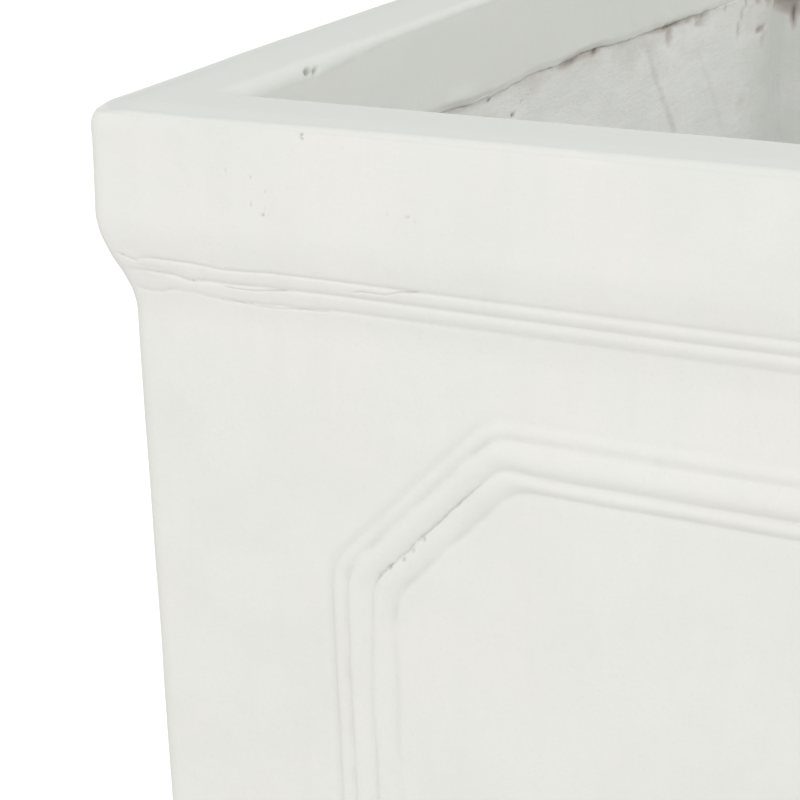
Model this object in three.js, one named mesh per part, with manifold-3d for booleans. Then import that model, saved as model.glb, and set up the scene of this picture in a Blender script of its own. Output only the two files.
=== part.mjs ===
// Square cast planter: a tapered box with a band lip, two beads under the lip and, on each side, a panel
// framed by a three-bead moulding with chamfered corners. The walls are laid up in layers: a fine cast face
// shell that turns over the rim, a fibre mortar core in the lip, a hand-laid backing behind each face,
// mortar fillets in the upright corners and a base slab with a stoppered drain hole.
// Millimetres, +Z up, origin on the floor under the middle of the planter, front face towards -Y.

import * as THREE from 'three';
import { mergeVertices } from 'three/addons/utils/BufferGeometryUtils.js';
import Module from 'manifold-3d';

const manifold = await Module();
manifold.setup();

// ---------------------------------------------------------------- driving dimensions
const rimSpan = 508; // outside of the lip, side to side
const planterHeight = 480; // floor to the top of the rim
const rimWidth = 22.5; // flat top of the rim, outside edge to inside edge
const taper = 0.0235; // each side leans in by this much for every unit of depth
const fitGap = 0.3; // between one layer and the next

const lipCornerRadius = 4; // upright outer corners, seen from above
const rimOuterEdgeRadius = 2;
const rimInnerEdgeRadius = 2.5;
const innerCornerRadius = 5; // inner corners of the rim, seen from above
const footEdgeRadius = 2; // bottom outside edge of the shell
const shellBackRadius = 0.6; // upright corners of the shell's back
const layerCornerRadius = 2; // upright corners of the layers that fill it

const lipProjection = 5.5; // the lip stands this far proud of the body just under it
const lipCurveTop = 22.5; // depth at which the lip face starts to curve in
const lipCurveBottom = 46; // depth at which it has met the body
const beadTop = 32; // depth of the groove above the first bead
const beadPitch = 3.4; // height of each bead
const beadRise = 0.6;
const beadCount = 2;

const faceThickness = 6; // cast face shell
const returnThickness = 3; // the part of the shell that turns down inside the rim
const returnDepth = 30; // rim top to the torn lower edge of the return
const tornEdgeReach = 3.2; // how far the torn edge wanders up and down
const backingThickness = 8; // hand-laid fibre mortar behind each face
const cornerFilletRadius = 16;
const cornerFilletFeather = 0.8; // thickness of a fillet where it runs out on the wall

const frameSideMargin = 45.4; // body corner to the frame moulding
const frameTopDepth = 57; // rim top to the frame moulding
const frameBottomMargin = 46; // frame moulding to the bottom of the body
const frameChamfer = 35;
const frameCornerEase = 3.5; // the moulding turns each corner over this length
const frameBeadWidths = { outer: 4.3, middle: 5.7, inner: 4.2 };
const frameBeadRises = { outer: 1.2, middle: 1.7, inner: 1.3 };
const frameGrooveRise = 0.5; // bottom of the grooves between the beads, above the wall
const frameSink = 2; // the moulding's root inside the shell

const padHeight = 5;
const padRadius = 24;
const padInset = 62; // lip plane to the middle of a pad
const padEdgeRadius = 1;
const baseThickness = 16;

const drainRadius = 16;
const plugClearance = 0.4;
const plugTaper = 0.5;
const plugFlangeRadius = 23;
const plugFlangeThickness = 3;
const plugNeckRadius = 5;
const plugKnobRadius = 9;
const plugKnobHeight = 14; // above the flange

// ---------------------------------------------------------------- sizes worked out from them
const halfSpan = rimSpan / 2;
const shellHeight = planterHeight - padHeight; // rim top to the underside of the shell
const beadBottom = beadTop + beadCount * beadPitch;
const baseTop = padHeight + baseThickness;
const baseTopDepth = planterHeight - baseTop;
const returnBackInset = rimWidth - returnThickness;

/** Inset of the flat body face from the lip's outer plane at a depth below the rim. */
const bodyInset = (depth) => lipProjection + taper * (depth - lipCurveBottom);
const wallInnerInset = (depth) => bodyInset(depth) + faceThickness + fitGap + backingThickness;

/** Inset of the back of the face shell, which follows the lip's ogee and then the body. */
function shellBackInset(depth) {
  if (depth >= lipCurveBottom) return bodyInset(depth) + faceThickness;
  const alongCurve = Math.max(0, (depth - lipCurveTop) / (lipCurveBottom - lipCurveTop));
  return faceThickness + lipProjection * alongCurve;
}

// ---------------------------------------------------------------- materials
const castFace = new THREE.MeshStandardMaterial({ color: 0xebebe6, roughness: 0.85, metalness: 0 });
const fibreMortar = new THREE.MeshStandardMaterial({ color: 0xcfcfca, roughness: 0.95, metalness: 0 });
const blackRubber = new THREE.MeshStandardMaterial({ color: 0x2b2b2b, roughness: 0.7, metalness: 0 });

// ---------------------------------------------------------------- solids from rings
/**
 * Skin a stack of rings that all have the same number of points. A looped stack joins its last ring to
 * its first, like a square hoop. An open stack is closed by a flat cap at each end.
 * The rings run anticlockwise seen from the side that the stack grows towards.
 */
function loftRings(rings, looped = false) {
  const count = rings[0].length;
  const positions = rings.flat().flatMap((point) => point.toArray());
  const indices = [];
  const joins = looped ? rings.length : rings.length - 1;
  for (let level = 0; level < joins; level += 1) {
    const lower = level * count;
    const upper = ((level + 1) % rings.length) * count;
    for (let i = 0; i < count; i += 1) {
      const next = (i + 1) % count;
      indices.push(lower + i, lower + next, upper + next);
      indices.push(lower + i, upper + next, upper + i);
    }
  }
  if (!looped) {
    const outline = rings[0].map((point) => new THREE.Vector2(point.x, point.y));
    const top = (rings.length - 1) * count;
    for (const [a, b, c] of THREE.ShapeUtils.triangulateShape(outline, [])) {
      indices.push(c, b, a);
      indices.push(top + a, top + b, top + c);
    }
  }
  const geometry = new THREE.BufferGeometry();
  geometry.setAttribute('position', new THREE.Float32BufferAttribute(positions, 3));
  geometry.setIndex(indices);
  return geometry;
}

/** Points of an arc about a centre, from one angle to another, both ends included. */
function arcPoints(centreX, centreY, radius, startAngle, endAngle, steps) {
  const clockwise = endAngle < startAngle;
  const arc = new THREE.EllipseCurve(centreX, centreY, radius, radius, startAngle, endAngle, clockwise);
  return arc.getPoints(steps);
}

/** A level square ring with rounded corners, inset from the lip's outer planes. */
function squareRing(inset, depth, cornerRadius) {
  const centre = halfSpan - inset - cornerRadius;
  const cornerSteps = 4;
  const ring = [];
  for (let corner = 0; corner < 4; corner += 1) {
    const start = (corner * Math.PI) / 2;
    const end = start + Math.PI / 2;
    const centreX = corner === 0 || corner === 3 ? centre : -centre;
    const centreY = corner < 2 ? centre : -centre;
    for (const point of arcPoints(centreX, centreY, cornerRadius, start, end, cornerSteps)) {
      ring.push(new THREE.Vector3(point.x, point.y, planterHeight - depth));
    }
  }
  return ring;
}

function toSolid(geometry) {
  const bare = geometry.clone();
  bare.deleteAttribute('normal');
  bare.deleteAttribute('uv');
  const merged = mergeVertices(bare, 1e-4);
  const order = merged.index.array;
  const triangles = [];
  for (let i = 0; i < order.length; i += 3) {
    const [a, b, c] = [order[i], order[i + 1], order[i + 2]];
    if (a !== b && b !== c && c !== a) triangles.push(a, b, c);
  }
  const mesh = new manifold.Mesh({
    numProp: 3,
    vertProperties: new Float32Array(merged.attributes.position.array),
    triVerts: new Uint32Array(triangles),
  });
  return new manifold.Manifold(mesh);
}

function toGeometry(solid) {
  const mesh = solid.getMesh();
  const geometry = new THREE.BufferGeometry();
  geometry.setAttribute('position', new THREE.BufferAttribute(new Float32Array(mesh.vertProperties), 3));
  geometry.setIndex(new THREE.BufferAttribute(new Uint32Array(mesh.triVerts), 1));
  return geometry;
}

// ---------------------------------------------------------------- face shell
/** The lip's outside, from the straight band through an ogee to the body, with the beads laid over it. */
function lipUndersideProfile() {
  const ogeeDepth = lipCurveBottom - lipCurveTop;
  const ogee = new THREE.CubicBezierCurve(
    new THREE.Vector2(0, lipCurveTop),
    new THREE.Vector2(0, lipCurveTop + ogeeDepth / 3),
    new THREE.Vector2(lipProjection, lipCurveBottom - ogeeDepth / 3),
    new THREE.Vector2(lipProjection, lipCurveBottom),
  );
  const ogeeInset = (depth) => ogee.getPoint((depth - lipCurveTop) / ogeeDepth).x;
  const depths = [];
  const stepsAbove = 5;
  const stepsPerBead = 6;
  const stepsBelow = 2;
  for (let i = 0; i < stepsAbove; i += 1) {
    depths.push(THREE.MathUtils.lerp(lipCurveTop, beadTop, i / stepsAbove));
  }
  for (let i = 0; i < beadCount * stepsPerBead; i += 1) {
    depths.push(beadTop + (i * beadPitch) / stepsPerBead);
  }
  for (let i = 0; i <= stepsBelow; i += 1) {
    depths.push(THREE.MathUtils.lerp(beadBottom, lipCurveBottom, i / stepsBelow));
  }
  return depths.map((depth) => {
    const alongBeads = (depth - beadTop) / beadPitch;
    const onBeads = alongBeads > 0 && alongBeads < beadCount;
    const rise = onBeads ? beadRise * Math.abs(Math.sin(Math.PI * alongBeads)) : 0;
    return { inset: ogeeInset(depth) - rise, depth };
  });
}

/** The shell as one hoop: up the return, over the rim, down the outside and back up behind the skin. */
function shellHoop() {
  const profile = [];
  const returnBottom = returnDepth + tornEdgeReach;
  profile.push({ inset: rimWidth, depth: returnBottom, radius: innerCornerRadius });
  const innerEdge = arcPoints(
    rimWidth - rimInnerEdgeRadius, rimInnerEdgeRadius, rimInnerEdgeRadius, 0, -Math.PI / 2, 3,
  );
  for (const point of innerEdge) {
    profile.push({ inset: point.x, depth: point.y, radius: innerCornerRadius + rimWidth - point.x });
  }
  const outerEdge = arcPoints(
    rimOuterEdgeRadius, rimOuterEdgeRadius, rimOuterEdgeRadius, -Math.PI / 2, -Math.PI, 4,
  );
  for (const point of outerEdge) {
    profile.push({ inset: point.x, depth: point.y, radius: lipCornerRadius });
  }
  for (const point of lipUndersideProfile()) {
    profile.push({ ...point, radius: lipCornerRadius });
  }
  const bottomInset = bodyInset(shellHeight);
  const footEdge = arcPoints(
    bottomInset + footEdgeRadius, shellHeight - footEdgeRadius, footEdgeRadius, Math.PI, Math.PI / 2, 3,
  );
  for (const point of footEdge) {
    profile.push({ inset: point.x, depth: point.y, radius: lipCornerRadius });
  }
  for (const depth of [shellHeight, lipCurveBottom, lipCurveTop, faceThickness]) {
    profile.push({ inset: shellBackInset(depth), depth, radius: shellBackRadius });
  }
  profile.push({ inset: returnBackInset, depth: faceThickness, radius: innerCornerRadius });
  profile.push({ inset: returnBackInset, depth: returnBottom, radius: innerCornerRadius });
  const rings = profile.map(({ inset, depth, radius }) => squareRing(inset, depth, radius));
  return loftRings(rings.reverse(), true);
}

/** Depth of the torn lower edge of the return at an angle around the planter. */
function tornEdgeDepth(angle) {
  const slow = 0.45 * Math.sin(7 * angle + 1);
  const quick = 0.35 * Math.sin(17 * angle + 2);
  const ragged = 0.2 * Math.sin(43 * angle);
  return returnDepth + tornEdgeReach * (slow + quick + ragged);
}

/** What is torn away under the return: a square hoop whose top follows the ragged line. */
function tornEdgeCutter() {
  const stepsPerSide = 26;
  const outlineAt = (inset, depthAt) => {
    const half = halfSpan - inset;
    const ring = [];
    for (let side = 0; side < 4; side += 1) {
      for (let i = 0; i < stepsPerSide; i += 1) {
        const along = -half + (2 * half * i) / stepsPerSide;
        const point = new THREE.Vector3(half, along, 0).applyAxisAngle(
          new THREE.Vector3(0, 0, 1), (side * Math.PI) / 2,
        );
        point.z = planterHeight - depthAt(Math.atan2(point.y, point.x));
        ring.push(point);
      }
    }
    return ring;
  };
  const flatDepth = () => returnDepth + 2 * tornEdgeReach;
  const outside = returnBackInset - fitGap;
  const inside = rimWidth + innerCornerRadius;
  return loftRings([
    outlineAt(outside, flatDepth),
    outlineAt(outside, tornEdgeDepth),
    outlineAt(inside, tornEdgeDepth),
    outlineAt(inside, flatDepth),
  ], true);
}

// ---------------------------------------------------------------- framed panel moulding
/** Height of the moulding above the wall, from its outer edge inwards: three beads and their grooves. */
function frameProfile() {
  const stepsPerBead = 4;
  const profile = [{ across: 0, rise: 0 }];
  let start = 0;
  let edgeRise = 0;
  const names = ['outer', 'middle', 'inner'];
  names.forEach((name, order) => {
    const width = frameBeadWidths[name];
    const nextEdgeRise = order === names.length - 1 ? 0 : frameGrooveRise;
    for (let i = 1; i <= stepsPerBead; i += 1) {
      const u = i / stepsPerBead;
      const chord = THREE.MathUtils.lerp(edgeRise, nextEdgeRise, u);
      const crown = (frameBeadRises[name] - (edgeRise + nextEdgeRise) / 2) * Math.sin(Math.PI * u);
      profile.push({ across: start + width * u, rise: chord + crown });
    }
    start += width;
    edgeRise = nextEdgeRise;
  });
  return profile;
}

/** A rectangle with chamfered corners, each of its eight turns eased by a short curve. */
function chamferedOutline(halfWidth, halfHeight, chamfer, ease) {
  const quarter = [
    new THREE.Vector2(halfWidth, halfHeight - chamfer),
    new THREE.Vector2(halfWidth - chamfer, halfHeight),
  ];
  const mirrored = (point, x, y) => new THREE.Vector2(point.x * x, point.y * y);
  const corners = [
    quarter[0], quarter[1],
    mirrored(quarter[1], -1, 1), mirrored(quarter[0], -1, 1),
    mirrored(quarter[0], -1, -1), mirrored(quarter[1], -1, -1),
    mirrored(quarter[1], 1, -1), mirrored(quarter[0], 1, -1),
  ];
  return corners.flatMap((corner, i) => {
    const before = corners[(i + corners.length - 1) % corners.length];
    const after = corners[(i + 1) % corners.length];
    const from = corner.clone().add(before.clone().sub(corner).setLength(ease));
    const to = corner.clone().add(after.clone().sub(corner).setLength(ease));
    return new THREE.QuadraticBezierCurve(from, corner, to).getPoints(2);
  });
}

/** The moulding of one side, on the front face. Its upright runs keep to the taper of the planter. */
function frameMoulding() {
  const topInset = bodyInset(frameTopDepth);
  const bottomDepth = shellHeight - frameBottomMargin;
  const halfHeight = (bottomDepth - frameTopDepth) / 2;
  const middleDepth = (bottomDepth + frameTopDepth) / 2;
  const halfWidthTop = halfSpan - topInset - frameSideMargin;
  const halfWidth = halfWidthTop - taper * halfHeight;
  const profile = frameProfile();
  const totalWidth = profile[profile.length - 1].across;
  const section = [...profile, { across: totalWidth, rise: -frameSink }, { across: 0, rise: -frameSink }];
  const chamferLoss = 2 - Math.SQRT2; // how much a chamfer shortens when its outline shrinks by one unit
  const rings = section.map(({ across, rise }) => {
    const outline = chamferedOutline(
      halfWidth - across, halfHeight - across, frameChamfer - chamferLoss * across, frameCornerEase,
    );
    return outline.map((point) => {
      const depth = middleDepth - point.y;
      const widening = 1 + (taper * point.y) / halfWidth;
      const faceY = -(halfSpan - bodyInset(depth));
      return new THREE.Vector3(point.x * widening, faceY - rise, planterHeight - depth);
    });
  });
  return loftRings(rings, true);
}

function faceShell() {
  let shell = toSolid(shellHoop()).subtract(toSolid(tornEdgeCutter()));
  for (let side = 0; side < 4; side += 1) {
    const moulding = frameMoulding();
    moulding.rotateZ((side * Math.PI) / 2);
    shell = shell.add(toSolid(moulding));
  }
  return toGeometry(shell);
}

// ---------------------------------------------------------------- layers behind the face
/** Fibre mortar that fills the lip between the skin and the return. */
function rimCore() {
  const bottom = returnDepth - fitGap;
  const top = faceThickness + fitGap;
  const inner = returnBackInset - fitGap;
  const outerRings = [bottom, lipCurveTop, top].map(
    (depth) => squareRing(shellBackInset(depth) + fitGap, depth, layerCornerRadius),
  );
  return loftRings([
    squareRing(inner, bottom, innerCornerRadius),
    ...outerRings,
    squareRing(inner, top, innerCornerRadius),
  ], true);
}

/** A flat slab of backing behind the front face; the side walls' backing is shorter by two thicknesses. */
function wallBacking(betweenOthers) {
  const depths = [baseTopDepth - fitGap, lipCurveBottom, returnDepth];
  const rings = depths.map((depth) => {
    const outerY = -(halfSpan - shellBackInset(depth) - fitGap);
    const innerY = -(halfSpan - wallInnerInset(depth));
    const endInset = betweenOthers ? wallInnerInset(depth) : shellBackInset(depth);
    const halfLength = halfSpan - endInset - fitGap;
    const z = planterHeight - depth;
    return [
      new THREE.Vector3(-halfLength, outerY, z),
      new THREE.Vector3(halfLength, outerY, z),
      new THREE.Vector3(halfLength, innerY, z),
      new THREE.Vector3(-halfLength, innerY, z),
    ];
  });
  return loftRings(rings);
}

/** A mortar strip with a hollow quarter-round face, worked into the upright corner at +X, +Y. */
function cornerFillet() {
  const topDepth = returnDepth + tornEdgeReach + 1;
  const rings = [baseTopDepth - fitGap, topDepth].map((depth) => {
    const corner = halfSpan - wallInnerInset(depth) - fitGap;
    const centre = corner - cornerFilletRadius;
    const featherAngle = Math.acos(1 - cornerFilletFeather / cornerFilletRadius);
    const hollow = arcPoints(centre, centre, cornerFilletRadius, Math.PI / 2 - featherAngle, featherAngle, 8);
    const outline = [
      new THREE.Vector2(hollow[0].x, corner),
      ...hollow,
      new THREE.Vector2(corner, hollow[hollow.length - 1].y),
      new THREE.Vector2(corner, corner),
    ];
    return outline.map((point) => new THREE.Vector3(point.x, point.y, planterHeight - depth));
  });
  return loftRings(rings);
}

/** The bottom slab, sloped at its edge like the shell that it fills, with a round drain hole. */
function baseSlab() {
  const rings = [shellHeight, baseTopDepth].map(
    (depth) => squareRing(shellBackInset(depth) + fitGap, depth, layerCornerRadius),
  );
  const slab = loftRings(rings);
  const drain = new THREE.CylinderGeometry(drainRadius, drainRadius, 3 * baseThickness, 48);
  drain.rotateX(Math.PI / 2);
  drain.translate(0, 0, padHeight + baseThickness / 2);
  return toGeometry(toSolid(slab).subtract(toSolid(drain)));
}

// ---------------------------------------------------------------- loose pieces
/** Rubber stopper: tapered shank, flange that rests on the slab, and a waisted knob to pull it by. */
function drainPlug() {
  const shankRadius = drainRadius - plugClearance;
  const flangeBottom = baseTop + fitGap;
  const flangeTop = flangeBottom + plugFlangeThickness;
  const knobTop = flangeTop + plugKnobHeight;
  const knobThickness = plugKnobHeight / 2;
  const knobBulge = new THREE.QuadraticBezierCurve(
    new THREE.Vector2(plugNeckRadius, knobTop - knobThickness),
    new THREE.Vector2(plugKnobRadius + knobThickness / 2, knobTop - knobThickness / 2),
    new THREE.Vector2(plugNeckRadius, knobTop),
  );
  const profile = [
    new THREE.Vector2(0, padHeight),
    new THREE.Vector2(shankRadius - plugTaper - 1, padHeight),
    new THREE.Vector2(shankRadius - plugTaper, padHeight + 1),
    new THREE.Vector2(shankRadius, flangeBottom),
    new THREE.Vector2(plugFlangeRadius - 1, flangeBottom),
    new THREE.Vector2(plugFlangeRadius, flangeBottom + 1),
    new THREE.Vector2(plugFlangeRadius - 1, flangeTop),
    new THREE.Vector2(plugNeckRadius + 1.5, flangeTop),
    new THREE.Vector2(plugNeckRadius, flangeTop + 1.5),
    ...knobBulge.getPoints(6),
    new THREE.Vector2(0, knobTop),
  ];
  const plug = new THREE.LatheGeometry(profile, 40);
  plug.rotateX(Math.PI / 2);
  return toGeometry(toSolid(plug));
}

/** Round rubber pad with an eased lower edge, standing on the floor. */
function footPad() {
  const top = padHeight - fitGap;
  const edge = arcPoints(padRadius - padEdgeRadius, padEdgeRadius, padEdgeRadius, -Math.PI / 2, 0, 3);
  const profile = [
    new THREE.Vector2(0, 0),
    ...edge,
    new THREE.Vector2(padRadius, top),
    new THREE.Vector2(0, top),
  ];
  const pad = new THREE.LatheGeometry(profile, 36);
  pad.rotateX(Math.PI / 2);
  return toGeometry(toSolid(pad));
}

// ---------------------------------------------------------------- assembly
const planter = new THREE.Group();

function addPart(name, geometry, material) {
  const mesh = new THREE.Mesh(geometry, material);
  mesh.name = name;
  planter.add(mesh);
  return mesh;
}

addPart('face_shell', faceShell(), castFace);
addPart('rim_core', rimCore(), fibreMortar);

const sides = ['front', 'right', 'back', 'left'];
sides.forEach((side, quarterTurns) => {
  const betweenOthers = quarterTurns % 2 === 1;
  const backing = addPart(`${side}_wall_backing`, wallBacking(betweenOthers), fibreMortar);
  backing.rotation.z = (quarterTurns * Math.PI) / 2;
});

const corners = ['back_right', 'back_left', 'front_left', 'front_right'];
corners.forEach((corner, quarterTurns) => {
  const fillet = addPart(`${corner}_corner_fillet`, cornerFillet(), fibreMortar);
  fillet.rotation.z = (quarterTurns * Math.PI) / 2;
});

addPart('base_slab', baseSlab(), fibreMortar);
addPart('drain_plug', drainPlug(), blackRubber);

corners.forEach((corner, quarterTurns) => {
  const pad = addPart(`${corner}_foot_pad`, footPad(), blackRubber);
  const reach = halfSpan - padInset;
  pad.position.set(reach, reach, 0).applyAxisAngle(new THREE.Vector3(0, 0, 1), (quarterTurns * Math.PI) / 2);
});

export default planter;
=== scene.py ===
import math

import bpy
import numpy as np
from mathutils import Matrix, Vector


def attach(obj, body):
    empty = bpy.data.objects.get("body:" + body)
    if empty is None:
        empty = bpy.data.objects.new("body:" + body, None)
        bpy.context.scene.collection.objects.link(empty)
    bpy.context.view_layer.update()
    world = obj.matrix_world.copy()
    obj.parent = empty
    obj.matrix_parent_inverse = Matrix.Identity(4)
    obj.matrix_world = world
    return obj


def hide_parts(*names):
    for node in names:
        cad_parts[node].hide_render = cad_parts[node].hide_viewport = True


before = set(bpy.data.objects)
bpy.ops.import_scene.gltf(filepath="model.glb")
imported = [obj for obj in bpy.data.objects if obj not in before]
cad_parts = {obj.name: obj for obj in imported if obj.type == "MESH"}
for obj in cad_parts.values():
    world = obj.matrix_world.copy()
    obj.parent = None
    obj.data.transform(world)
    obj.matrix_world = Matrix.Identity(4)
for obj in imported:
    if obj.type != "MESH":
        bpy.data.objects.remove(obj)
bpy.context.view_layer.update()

# Sizes here are in millimetres until a mesh is made. "Depth" is measured down from the top of the rim,
# "inset" inwards from the outside of the lip, and "along" from the left end of a side seen from outside.
MM = 0.001

SPAN = 508.0
HALF = SPAN / 2
HEIGHT = 480.0
RIM_WIDTH = 22.5
TAPER = 0.0235
LIP_PROJECTION = 5.5
CURVE_TOP = 22.5  # where the lip's face starts to turn in, and where it has met the wall
CURVE_BOTTOM = 46.0
FACE = 6.0
FOOT_DEPTH = 475.0
OUTER_EDGE = 1.5
EDGE_FALL = 0.5  # the rim's top falls this far towards its outer edge
INNER_EDGE = 2.5
LIP_CORNER = 4.0
INNER_CORNER = 5.0
BACK_CORNER = 0.6
FOOT_EDGE = 2.0
FIT_GAP = 0.3
BACKING = 8.0
WALL_BOTTOM = 458.7
RETURN_BACK = 19.5  # insets of the return's hidden face and of the core behind it
CORE_FACE = 19.2
CORE_BOTTOM = 31.0
SIDE_SHIFT = 520.0  # keeps one side's noise clear of the next one's
STAIN_SHIFT = 900.0
FRONT, RIGHT, BACK, LEFT = range(4)


# ---- noise
LATTICES = [np.random.default_rng(seed).random((48, 48, 48)) * 2 - 1 for seed in range(5)]


def value_noise(points, size, seed):
    """Smooth noise from -1 to 1 at points (..., 3); one blotch is about size across on each axis."""
    lattice = LATTICES[seed % len(LATTICES)]
    scaled = points / np.asarray(size, float) + 7.31 * seed + 11.7
    cell = np.floor(scaled).astype(int)
    part = scaled - cell
    part = part * part * (3 - 2 * part)
    total = np.zeros(points.shape[:-1])
    for corner in range(8):
        step = np.array([corner & 1, corner >> 1 & 1, corner >> 2 & 1])
        at = (cell + step) % 48
        weight = np.where(step, part, 1 - part).prod(-1)
        total += weight * lattice[at[..., 0], at[..., 1], at[..., 2]]
    return total


def fractal(points, size, octaves, seed):
    total = np.zeros(points.shape[:-1])
    for octave in range(octaves):
        layer = value_noise(points, np.asarray(size, float) / 2 ** octave, seed + octave)
        total += layer / 2 ** octave
    return total


def wander(along, size, seed):
    """One-dimensional noise."""
    along = np.asarray(along, float)
    points = np.stack([along, np.full_like(along, 3.7 * seed), np.full_like(along, 1.3)], -1)
    return fractal(points, size, 3, seed) / 1.5


def smooth(low, high, value):
    part = np.clip((value - low) / (high - low), 0, 1)
    return part * part * (3 - 2 * part)


def hump(offset, width, power=2):
    """One at no offset, falling away to nothing past the width on both sides."""
    return np.exp(-abs(offset / width) ** power)


def spaced(start, end, step):
    count = max(1, round((end - start) / step))
    return np.linspace(start, end, count + 1)[:-1]


def graded(stretches, end):
    """Stations along a line in stretches of (start, step), without the end itself."""
    stops = [start for start, _ in stretches[1:]] + [end]
    return np.concatenate([spaced(start, stop, step) for (start, step), stop in zip(stretches, stops)])


# ---- meshes from grids of points
def make_object(name, points, quads, extra_faces=(), marks=None):
    """A closed mesh turned outwards. marks is an optional value for each point, read by the materials."""
    quads = np.asarray(quads, int)
    a, b, c, d = (points[quads[:, i]] for i in range(4))
    volume = (np.cross(b - a, c - a) * a).sum() + (np.cross(c - a, d - a) * a).sum()
    faces = quads.tolist() + [list(face) for face in extra_faces]
    if volume < 0:
        faces = [face[::-1] for face in faces]
    mesh = bpy.data.meshes.new(name)
    mesh.from_pydata((points * MM).tolist(), [], faces)
    mesh.polygons.foreach_set("use_smooth", np.ones(len(mesh.polygons), bool))
    for label, values in (marks or {}).items():
        layer = mesh.attributes.new(label, "FLOAT", "POINT")
        layer.data.foreach_set("value", values.ravel().astype(np.float32))
    mesh.update()
    piece = bpy.data.objects.new(name, mesh)
    bpy.context.scene.collection.objects.link(piece)
    return piece


def grid_quads(rows, columns, loop_rows, loop_columns):
    row = np.arange(rows if loop_rows else rows - 1)
    column = np.arange(columns if loop_columns else columns - 1)
    r, c = np.meshgrid(row, column, indexing="ij")
    r2, c2 = (r + 1) % rows, (c + 1) % columns
    corners = [r * columns + c, r * columns + c2, r2 * columns + c2, r2 * columns + c]
    return np.stack([corner.ravel() for corner in corners], -1)


def turned(x, y, side):
    """Side coordinates (x along the side, y outwards as -y on the front) turned to where the side is."""
    cos, sin = ((1, 0), (0, 1), (-1, 0), (0, -1))[side]
    return x * cos - y * sin, x * sin + y * cos


def lathe(name, profile, segments, centre, wobble=0.0, seed=0):
    """A closed turned piece. The profile's first and last points are on the axis."""
    profile = np.asarray(profile, float)
    angles = np.arange(segments) * 2 * np.pi / segments
    radius, z = profile[1:-1, 0], profile[1:-1, 1]
    x = radius[:, None] * np.cos(angles) + centre[0]
    y = radius[:, None] * np.sin(angles) + centre[1]
    points = np.stack([x, y, np.repeat(z[:, None], segments, 1)], -1)
    if wobble:
        points[..., 2] += wobble * value_noise(points, 6.0, seed) * smooth(0, 2, radius)[:, None]
    rings = len(radius)
    quads = grid_quads(rings, segments, False, True)
    flat = points.reshape(-1, 3)
    ends = np.array([[centre[0], centre[1], profile[0, 1]], [centre[0], centre[1], profile[-1, 1]]])
    flat = np.concatenate([flat, ends])
    bottom, top = len(flat) - 2, len(flat) - 1
    last = (rings - 1) * segments
    caps = []
    for i in range(segments):
        j = (i + 1) % segments
        caps += [[bottom, j, i], [top, last + i, last + j]]
    return make_object(name, flat, quads, caps)


def arc(centre_r, centre_z, radius, start, end, steps):
    angles = np.radians(np.linspace(start, end, steps + 1))
    return [[centre_r + radius * math.cos(a), centre_z + radius * math.sin(a)] for a in angles]


# ---- cast skin: the sections
def body_inset(depth):
    return LIP_PROJECTION + TAPER * (depth - CURVE_BOTTOM)


def outside_inset(depth):
    curve = LIP_PROJECTION * smooth(CURVE_TOP, CURVE_BOTTOM, depth)
    return np.where(depth < CURVE_BOTTOM, curve, body_inset(depth))


def lining_inset(depth):
    return body_inset(depth) + FACE + FIT_GAP + BACKING


class Columns:
    """Stations round the square: straight runs on the four sides, joined by the rounded corners."""

    def __init__(self, runs, corner_steps=6):
        stations = []
        for side, run in enumerate(runs):
            straight = (np.asarray(run) - HALF) / (HALF - LIP_CORNER)
            stations += [(side, value, 0.0, -1.0) for value in [*straight, 1.0]]
            for i in range(1, corner_steps):
                angle = -math.pi / 2 + i * math.pi / 2 / corner_steps
                stations.append((side, 1.0, math.cos(angle), math.sin(angle)))
        sides, self.scale_x, self.round_x, self.round_y = np.array(stations).T.copy()
        self.side = sides.astype(int)
        self.on_corner = self.round_x > 0
        self.count = len(sides)

    def place(self, inset, depth, radius):
        reach = HALF - inset - radius
        x = self.scale_x * reach + radius * self.round_x
        y = -reach + radius * self.round_y
        cos = np.array([1, 0, -1, 0])[self.side]
        sin = np.array([0, 1, 0, -1])[self.side]
        return np.stack([x * cos - y * sin, x * sin + y * cos, HEIGHT - depth], -1), x + HALF


# Stations are closest together where the photograph shows the finest detail.
RUN_END = SPAN - LIP_CORNER
front_run = graded([
    (LIP_CORNER, 0.5), (28, 0.35), (44, 0.5), (48.4, 0.2), (51.6, 0.5),
    (60, 0.36), (86, 0.6), (100, 1.5), (165, 7.0), (400, 1.7),
], RUN_END)
left_run = graded([(LIP_CORNER, 1.8), (104, 2.4), (404, 1.2), (438, 0.45), (452, 1.2)], RUN_END)
hidden_run = graded([(LIP_CORNER, 1.8), (104, 9.0), (404, 1.8)], RUN_END)
columns = Columns([front_run, hidden_run, hidden_run, left_run])


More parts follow.
